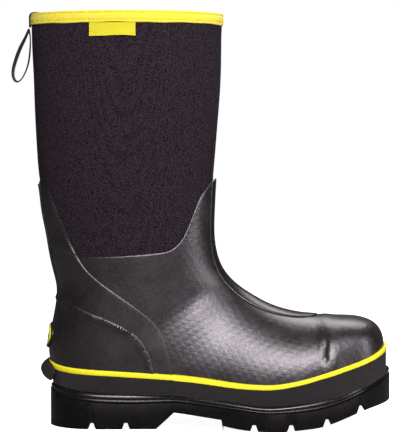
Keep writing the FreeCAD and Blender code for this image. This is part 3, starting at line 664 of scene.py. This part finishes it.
def make_upper():
    rim = (under(RIM - 1.7), 0)
    low = (above(WELT_TOP), 0)
    for name, sign in (("lateral", -1), ("medial", 1)):
        half = (lambda p, sign=sign: sign * p[:, 1], 0)
        panel_ = shell(f"neoprene_{name}", NEOPRENE_KNIT, -NEOPRENE, NEOPRENE, [rim, low, half],
                       relief=soft_wall, under=0.0, step=3.0)
        finish_piece(panel_, "boot", "neoprene", f"neoprene_{name}_panel")
    sock = shell("lining", LINING_KNIT, -NEOPRENE - LINING, LINING - 0.15, [rim, (above(WELT_TOP, 3.2), 0)],
                 under=0.0, step=3.4, around=120)
    finish_piece(sock, "boot", "lining", "lining_sock")

    for name, width, x_sign in (("front", 22.0, 1), ("back", 17.0, -1)):
        face = (lambda p, k=x_sign: k * (p[:, 0] - 60), 0)
        tape = shell(f"{name}_tape", TAPE_KNIT, 0.0, 0.55, [(within_y(width / 2), 0.7), face,
                     (under(BINDING_LOW + 1), 0), (lambda p: p[:, 2] - 205, 0)], relief=soft_wall, s1=1.2)
        finish_piece(tape, "boot", "seam_tape", f"{name}_seam_tape")

    vamp = shell("vamp", VAMP_RUBBER, lambda p: 0.1 + cap_bump(p), lambda p: VAMP - 0.1 - back_taper(p),
                 [(below(VAMP_TOP), 1.6), low], relief=toe_relief, s0=0.85)
    finish_piece(vamp, "boot", "vamp_rubber", "vamp_shell")

    hidden_edge = above(VAMP_TOP)
    dip = lambda p: -0.8 * np.exp(-(hidden_edge(p) / 1.3) ** 2)
    counter = shell("counter", COUNTER_RUBBER, lambda p: VAMP - back_taper(p), COUNTER,
                    [(below(COUNTER_EDGE), 1.6), low], relief=dip, s0=0.85, s1=2.0)
    finish_piece(counter, "boot", "counter_rubber", "counter_shell")

    edge = below(HEEL_CUP_EDGE)
    ridge = lambda p: 1.5 * np.exp(-((edge(p) - 3.0) / 2.0) ** 2)
    cup = shell("heel_cup_panel", CUP_RUBBER, VAMP + COUNTER, HEEL_CUP,
                [(edge, 1.3), (above(STRIPE_LINE), 0)], relief=ridge, s0=1.1, s1=1.75, step=2.0)
    finish_piece(cup, "boot", "counter_rubber", "heel_cup")

    plan = smooth_line(SPINE_PLAN[1:-1], 3.0)
    plan = np.vstack([[[120, -11.5]], plan, [[120, 11.5]]])
    spine = shell("front_rib", RIB_RUBBER, lambda p: VAMP + cap_bump(p), SPINE,
                  [(lambda p: plan_distance(p, plan), 1.5), (below(VAMP_TOP), 1.2),
                   (lambda p: p[:, 2] - 85, 0)], s0=0.85, s1=2.0, step=2.0, around=240)
    finish_piece(spine, "boot", "rib_rubber", "front_spine")

    strip = shell("back_rib", RIB_RUBBER, lambda p: VAMP + COUNTER - back_taper(p), BACK_STRIP,
                  [(within_y(8.5), 1.2), (lambda p: 60 - p[:, 0], 0), (under(234), 1.0),
                   (lambda p: p[:, 2] - 127, 0)], s0=0.9, s1=1.4, step=2.0, around=240)
    finish_piece(strip, "boot", "rib_rubber", "back_spine")


def make_foxing():
    def base(p):
        return VAMP + cap_bump(p) + COUNTER * (1 - smoothstep(119, 123, p[:, 0]))
    half = STRIPE_WIDTH / 2
    band = shell("foxing", FOXING_RUBBER, base, lambda p: FOXING - base(p),
                 [(above(WELT_TOP, -0.6), 0), (below(STRIPE_LINE, -half + 0.5), 0)],
                 s0=1.2, step=2.4, uv=edge_uv)
    finish_piece(band, "boot", "foxing_rubber", "foxing_band")
    stripe = shell("foxing_line", YELLOW_RUBBER, base, lambda p: STRIPE - base(p),
                   [(above(STRIPE_LINE, -half), 0.9), (below(STRIPE_LINE, half), 0.9)],
                   s0=1.2, step=2.4, lip=0.55)
    finish_piece(stripe, "boot", "yellow_rubber", "foxing_stripe")


def make_badge():
    low = VAMP + COUNTER + HEEL_CUP
    own = (np.linspace(1.23, 1.39, 80), np.linspace(math.pi - 0.62, math.pi + 0.62, 70))

    def oval(half_y, half_z, sign=1):
        def field(p):
            radius = np.hypot(p[:, 1] / half_y, (p[:, 2] - BADGE_Z) / half_z)
            return sign * (1 - radius) * (half_y + half_z) / 2
        return field
    badge = shell("badge", BADGE_RUBBER, low, BADGE, [(oval(17.0, 12.6), 1.5)], own=own, lip=0.3)
    finish_piece(badge, "boot", "badge_rubber", "heel_badge")
    ring = shell("badge_ring", YELLOW_RUBBER, low + BADGE - 0.1, BADGE_RING,
                 [(oval(15.6, 11.3), 0.9), (oval(13.3, 9.0, -1), 0.9)], own=own, lip=0.2)
    finish_piece(ring, "boot", "yellow_rubber", "heel_badge_ring")


# ---- things swept round or along a line -----------------------------------------------------
def sweep(name, mat, sections, closed, uv=None, sharp=38, caps=True):
    """A closed body from a list of sections, each the same number of points round."""
    grid = np.array(sections)
    n, m = grid.shape[:2]
    faces = [(i * m + k, i * m + (k + 1) % m, (i + 1) % n * m + (k + 1) % m, (i + 1) % n * m + k)
             for i in range(n if closed else n - 1) for k in range(m)]
    if not closed and caps:
        faces += [tuple(range(m))[::-1], tuple((n - 1) * m + k for k in range(m))]
    return add_mesh(name, grid.reshape(-1, 3), faces, mat, sharp, None if uv is None else uv(n, m))


def rim_angles(count, at=0.05):
    """Angles evenly spaced by length round the leg, from the middle of the back."""
    a = np.linspace(math.pi, 3 * math.pi, 2001)
    p = surface(at, a, BINDING_OUT)
    arc = np.r_[0, np.cumsum(np.linalg.norm(np.diff(p, axis=0), axis=1))]
    return np.interp(np.arange(count) * arc[-1] / count, arc, a), arc[-1]


def on_leg(z, a, off):
    return surface((SECTION_TOP - np.asarray(z, float)) / (SECTION_TOP - PIVOT_Z), a, off)


def make_binding():
    count = 520
    angles, length = rim_angles(count)
    z = np.r_[387.5, 387.9, np.arange(388.6, 398.2, 0.55), 398.5]
    groove = sum(np.exp(-((z - row) / 0.65) ** 2) for row in STITCH_ROWS)
    out = 1.75 - 0.55 * groove + 0.25 * np.exp(-((z - 393.8) / 2) ** 2)
    out[:2] = 0.9, 1.5
    out[-1] = 1.35
    over = [(1.35 - 4.85 * (1 - math.cos(t)), 398.5 + 0.75 * math.sin(t))
            for t in np.linspace(0.5, math.pi - 0.5, 9)]
    inside = [(-8.2, 397.8), (-8.3, 393), (-8.2, 388.6), (-7.8, 387.6), (-6.7, 387.7), (-6.7, 397.0),
              (-3.0, 397.35), (0.1, 397.0), (0.1, 387.8)]
    profile = np.array(list(zip(out, z)) + over + inside)
    sections = []
    for i, a in enumerate(angles):
        arc = i * length / count
        pucker = 0.12 * math.sin(2 * math.pi * arc / 3.6) + 0.12 * math.sin(arc / 19)
        near = np.exp(-(np.min(np.abs(profile[:, 1:2] - np.array(STITCH_ROWS)), axis=1) / 2) ** 2)
        off = profile[:, 0] + pucker * near * (profile[:, 0] > 0.5)
        lift = np.where(profile[:, 1] < 388.2, 0.25 * math.sin(arc / 13) + 0.15 * math.sin(arc / 5.1), 0)
        sections.append(on_leg(profile[:, 1] + lift, a, off))

    def uv(n, m):
        along = np.r_[0, np.cumsum(np.linalg.norm(np.diff(profile, axis=0), axis=1))]
        return np.array([(i * length / count, along[k]) for i in range(n) for k in range(m)])
    band = sweep("binding", BINDING_CLOTH, sections, True, uv, 60)
    finish_piece(band, "boot", "binding", "top_binding")

    points, faces = [], []
    pitch = 3.6
    stitches = int(length / pitch)
    for row in STITCH_ROWS:
        for i in range(stitches):
            mid = (i + 0.5) / stitches
            if min(mid, 1 - mid) * length < 5.8:
                continue
            at = np.interp(mid * count + np.array([-0.42, -0.3, 0, 0.3, 0.42]) * pitch / length * count,
                           np.arange(count), angles)
            spine = on_leg(np.full(5, row) + RNG.normal(0, 0.05), at, np.array([1.05, 1.4, 1.6, 1.4, 1.05]))
            along = np.gradient(spine, axis=0)
            along /= np.linalg.norm(along, axis=1)[:, None]
            up = np.array([0, 0, 1.0])
            out_ = np.cross(along, up)
            first = len(points)
            for c, o, r in zip(spine, out_, (0.2, 0.4, 0.46, 0.4, 0.2)):
                for t in np.arange(6) * math.pi / 3:
                    points.append(c + r * (math.cos(t) * o + math.sin(t) * up))
            faces += [(first + j * 6 + k, first + j * 6 + (k + 1) % 6, first + (j + 1) * 6 + (k + 1) % 6,
                       first + (j + 1) * 6 + k) for j in range(4) for k in range(6)]
            faces += [tuple(first + k for k in range(6))[::-1], tuple(first + 24 + k for k in range(6))]
    thread = add_mesh("stitches", np.array(points), faces, THREAD, 80)
    finish_piece(thread, "boot", "thread", "binding_stitching")


def strip_sections(centres, normals, across, width, thick, rounding=0.4):
    """Sections of a flat strap: centre line, its face normals and its width directions."""
    w, t, r = width / 2, thick / 2, rounding
    loop = [(-w + r, t), (-w / 3, t), (w / 3, t), (w - r, t), (w, t - r), (w, -t + r),
            (w - r, -t), (w / 3, -t), (-w / 3, -t), (-w + r, -t), (-w, -t + r), (-w, t - r)]
    return [[c + u * b + v * n for u, v in loop] for c, n, b in zip(centres, normals, across)]


def strip_uv(length, width):
    side = np.array([0, 0.33, 0.66, 1, 1.05, 1.1, 1.15, 1.5, 1.8, 2.1, 2.15, 2.2]) * width
    return lambda n, m: np.array([(side[k], i * length / n) for i in range(n) for k in range(m)])


def make_pull_loop():
    path = [(2.5, 386.2), (2.6, 390), (2.75, 394), (2.6, 397.8), (1.2, 399.6), (-1.5, 400.1), (-5.5, 400.1),
            (-8.2, 399.3), (-9.2, 397.5), (-9.25, 392), (-9.2, 386.6)]
    path = smooth_line(path, 0.8)
    tangent = np.gradient(path, axis=0)
    tangent /= np.linalg.norm(tangent, axis=1)[:, None]
    half, thick = 5.0, 0.55
    across = (-5, -4.6, -2, 0, 2, 4.6, 5)
    rows_ = []
    for (off, z), (to, tz) in zip(path, tangent):
        ring = []
        for y, side in [(y, 1) for y in across] + [(y, -1) for y in across[::-1]]:
            t = thick * (0.6 if abs(y) == half else 1) * side
            o, h = off + tz * t, z - to * t
            a = math.pi + math.asin(y / (46 + o))
            ring.append(on_leg(h, a, o))
        rows_.append(ring)
    uv = lambda n, m: np.array([(k * 1.5, i * 0.8) for i in range(n) for k in range(m)])
    anchor = sweep("loop_anchor", WEBBING, rows_, False, uv, 60)
    finish_piece(anchor, "boot", "webbing", "pull_loop_anchor")

    line = smooth_line(LOOP_LINE, 1.2)
    centres = np.stack([line[:, 0], np.zeros(len(line)), line[:, 1]], 1)
    f = np.linspace(0, 1, len(line))
    centres[:, 1] = 1.2 * np.sin(math.pi * f) ** 2
    tangent = np.gradient(centres, axis=0)
    tangent /= np.linalg.norm(tangent, axis=1)[:, None]
    normals = np.cross(tangent, [0, 1.0, 0])
    normals /= np.linalg.norm(normals, axis=1)[:, None]
    twist = 0.22 * np.sin(math.pi * f) ** 2 + 0.1 * np.sin(3 * math.pi * f)
    across = np.cos(twist)[:, None] * np.cross(normals, tangent) + np.sin(twist)[:, None] * normals
    normals = np.cross(tangent, across)
    loop = sweep("pull_webbing", WEBBING, strip_sections(centres, normals, across, 9.0, 1.2), False,
                 strip_uv(118, 9.0), 60)
    finish_piece(loop, "pull_strap", "webbing", "pull_loop")


def side_point(x, z, off):
    """A point of the leg's outer side."""
    s = (SECTION_TOP - z) / (SECTION_TOP - PIVOT_Z)
    front, back = np.interp(s, *FRONT_WALL), np.interp(s, *BACK_WALL)
    half = np.interp(s, SHAPE_AT, SHAPE_VALUES[:, 0]) + off
    middle = (front + back) / 2
    c = (middle - (PIVOT_X - x)) / ((back - front) / 2 + off)
    return np.array([x, -half * math.sqrt(max(1 - c * c, 0)), z])


def make_tag():
    xs, ts = np.linspace(41, 85, 45), np.linspace(0, 1, 15)
    points, uv = [], []
    for side in (1, -1):
        for x in xs:
            u = (x - 63) / 22
            for t in ts:
                z = 387.3 - t * (12.1 + 0.5 * u * u - 0.3 * math.sin(3 * u))
                lift = 0.95 + 0.9 * t * t * (0.6 + 0.4 * math.sin(2.5 * u + 0.6)) + 0.15 * math.sin(6 * u) * t
                hem = 0.22 * (t > 0.93) + 0.1 * (t < 0.08)
                points.append(side_point(x, z, lift + side * (0.28 + hem)))
                uv.append((x, z))
    n, m = len(xs), len(ts)
    faces = []
    for i in range(n - 1):
        for k in range(m - 1):
            a, b, c, d = i * m + k, i * m + k + 1, (i + 1) * m + k + 1, (i + 1) * m + k
            faces += [(a, b, c, d), (a + n * m, d + n * m, c + n * m, b + n * m)]
    last_row = (n - 1) * m
    border = ([(i * m, (i + 1) * m) for i in range(n - 1)]
              + [(last_row + k, last_row + k + 1) for k in range(m - 1)]
              + [((i + 1) * m + m - 1, i * m + m - 1) for i in range(n - 1)]
              + [(k + 1, k) for k in range(m - 1)])
    faces += [(i, j, j + n * m, i + n * m) for i, j in border]
    tag = add_mesh("tag", np.array(points), faces, TAG_CLOTH, 50, np.array(uv))
    finish_piece(tag, "tag_flap", "tag", "label_tag")


def inside_outline(off, by):
    """Edges of the space inside the boot, by millimetres above the welt: x, outer y, inner y."""
    par, tri = full_grid(1.05, 3.0, 4.0, 120)
    par, tri, value = split(par, tri, above(WELT_TOP, by), 0.0, off)
    p = surface(par[:, 0], par[:, 1], off)[value == 0]
    xs = np.linspace(p[:, 0].min() + 0.05, p[:, 0].max() - 0.05, 90)
    out = []
    for side in (-1, 1):
        q = p[p[:, 1] * side > 0]
        q = q[np.argsort(q[:, 0])]
        out.append(np.interp(xs, q[:, 0], q[:, 1]))
    return xs, out[0], out[1]


def plate(name, mat, off, low, thick, inset, cup=0.0):
    """A flat layer inside the boot, from heel to toe, with a cupped rim."""
    xs, y0, y1 = inside_outline(off, low + thick / 2)
    t = 0.5 - 0.5 * np.cos(np.linspace(0.05, math.pi - 0.05, 70))
    at = xs[0] + inset + t * (xs[-1] - xs[0] - 2 * inset)
    sections = []
    for x in at:
        a, b = np.interp(x, xs, y0) + inset, np.interp(x, xs, y1) - inset
        floor = float(height_on(WELT_LINE, x)) + low
        v = np.linspace(-1, 1, 21)
        edge = np.clip((np.abs(v) - 0.55) / 0.45, 0, 1) ** 2
        rim = cup * edge * (1 - smoothstep(120, 190, x))
        rim = rim + cup * 1.3 * edge * (v > 0) * math.exp(-((x - 140) / 38) ** 2)
        round_ = 0.35 * thick * (1 - np.sqrt(1 - np.clip((np.abs(v) - 0.93) / 0.07, 0, 1) ** 2))
        y = (a + b) / 2 + v * (b - a) / 2
        top = [(x, yy, floor + thick + r - c) for yy, r, c in zip(y, rim, round_)]
        bottom = [(x, yy, floor + c) for yy, c in zip(y[::-1], round_[::-1])]
        sections.append(top + bottom)
    return sweep(name, mat, sections, False, None, 50)


def make_inside():
    insole = plate("footbed", FOOTBED_CLOTH, -7.4, 4.9, 5.4, 0.6, 2.4)
    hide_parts("footbed_front", "footbed_heel")
    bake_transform(insole)
    sole = plate("bootie_floor", NEOPRENE_KNIT, -4.7, 0.1, 2.9, 0.3)
    finish_piece(sole, "boot", "neoprene", "bootie_sole")
    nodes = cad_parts
    for paint, slot, names in ((STEEL, "steel", ("toe_cap", "puncture_plate", "shank")),
                               (EDGING, "edging", ("toe_cap_edging",)),
                               (STIFFENER_PAINT, "stiffener", ("heel_stiffener",)),
                               (BOARD_PAINT, "board", ("insole_board",)),
                               (FOAM, "filler_foam", ("heel_filler", "forefoot_filler")),
                               (SPUR_RUBBER, "badge_rubber", ("kick_spur",))):
        for name in names:
            nodes[name].data.materials.clear()
            nodes[name].data.materials.append(paint)


# ---- the sole ------------------------------------------------------------------------------
def make_welt():
    # inset from the outsole's edge, and share of the height from outsole to welt top
    profile = [(7.3, 0.02), (3.0, 0.0), (1.3, 0.02), (0.75, 0.10), (0.6, 0.20), (0.75, 0.27),
               (1.35, 0.31), (1.35, 0.34), (0.7, 0.38), (0.35, 0.46), (0.3, 0.56), (0.55, 0.68),
               (1.1, 0.80), (2.0, 0.90), (3.2, 0.97), (4.6, 1.0), (7.3, 1.0)]
    tangent = np.roll(EDGE, -1, 0) - np.roll(EDGE, 1, 0)
    tangent /= np.linalg.norm(tangent, axis=1)[:, None]
    inward = np.stack([-tangent[:, 1], tangent[:, 0]], 1)
    sections = []
    for p, n in zip(EDGE, inward):
        ring = []
        for inset, f in profile:
            x, y = p + n * inset
            low, high = height_on(OUTSOLE_LINE, x), height_on(WELT_LINE, x)
            ring.append((x, y, low + f * (high - low)))
        sections.append(ring)
    bead = sweep("welt_bead", WELT_RUBBER, sections, True, None, 75)
    finish_piece(bead, "boot", "welt_rubber", "welt")


def make_outsole():
    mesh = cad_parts["outsole"].data.copy()
    obj = bpy.data.objects.new("outsole_block", mesh)
    bpy.context.collection.objects.link(obj)
    mesh.materials.clear()
    mesh.materials.append(OUTSOLE_RUBBER)
    b = bmesh.new()
    b.from_mesh(mesh)
    bmesh.ops.remove_doubles(b, verts=b.verts, dist=0.00002)
    bmesh.ops.dissolve_limit(b, angle_limit=math.radians(2), verts=b.verts, edges=b.edges)
    b.to_mesh(mesh)
    b.free()
    bevel = obj.modifiers.new("bevel", "BEVEL")
    bevel.width = 0.7 * MM
    bevel.segments = 2
    bevel.limit_method = "ANGLE"
    bevel.angle_limit = math.radians(35)
    bevel.use_clamp_overlap = True
    bpy.context.view_layer.objects.active = obj
    bpy.ops.object.modifier_apply(modifier="bevel")
    obj.data.shade_smooth()
    obj.data.set_sharp_from_angle(angle=math.radians(30))
    finish_piece(obj, "boot", "outsole_rubber", "outsole")


# ---- camera, floor and light ------------------------------------------------------------------
def make_camera():
    data = bpy.data.cameras.new("camera")
    camera = bpy.data.objects.new("camera", data)
    bpy.context.collection.objects.link(camera)
    start = to_row((AIM[0], -CAMERA_DISTANCE, CAMERA_HEIGHT))
    aim = to_row((AIM[0], 0, AIM[1]))
    camera.location = start
    down = math.atan2(start[2] - aim[2], CAMERA_DISTANCE * MM)
    camera.rotation_euler = (math.pi / 2 - down, 0, 0)
    data.sensor_fit = "VERTICAL"
    data.sensor_height = SENSOR
    data.lens = SENSOR * CAMERA_DISTANCE / VIEW_HEIGHT
    data.clip_end = 50
    bpy.context.scene.camera = camera


def area_light(name, place, aim, size, power):
    data = bpy.data.lights.new(name, "AREA")
    data.shape = "RECTANGLE"
    data.size, data.size_y = size
    data.color = LIGHT_COLOR
    data.energy = power
    lamp = bpy.data.objects.new(name, data)
    bpy.context.collection.objects.link(lamp)
    lamp.location = place
    way = Vector(aim) - Vector(place)
    lamp.rotation_euler = way.to_track_quat("-Z", "Y").to_euler()


def make_stage():
    bpy.ops.mesh.primitive_plane_add(size=12, location=(0, 0, 0))
    floor = bpy.context.object
    floor.name = "floor"
    paint = Paint("floor_paint", FLOOR_COLOR, 0.95, Specular_IOR_Level=0.0)
    seen = paint.add("ShaderNodeLightPath").outputs["Is Camera Ray"]
    paint.tint(seen, even(FLOOR_BOUNCE), even(1.0))
    paint.set("Emission Color", (1, 1, 1, 1))
    paint.tree.links.new(paint.ramp(seen, 0, 1, 0, FLOOR_GLOW), paint.shader.inputs["Emission Strength"])
    floor.data.materials.append(paint.m)
    world = bpy.data.worlds.new("studio")
    world.use_nodes = True
    tree = world.node_tree
    back = tree.nodes["Background"]
    back.inputs["Color"].default_value = (1, 1, 1, 1)
    seen = tree.nodes.new("ShaderNodeLightPath")
    level = tree.nodes.new("ShaderNodeMapRange")
    level.inputs[3].default_value = ROOM_LIGHT
    tree.links.new(seen.outputs["Is Camera Ray"], level.inputs[0])
    tree.links.new(level.outputs[0], back.inputs["Strength"])
    bpy.context.scene.world = world


make_upper()
make_foxing()
make_badge()
make_binding()
make_pull_loop()
make_tag()
make_inside()
make_welt()
make_outsole()
make_camera()
make_stage()
for light in LIGHTS:
    area_light(*light)
bpy.context.scene.view_settings.view_transform = "Standard"
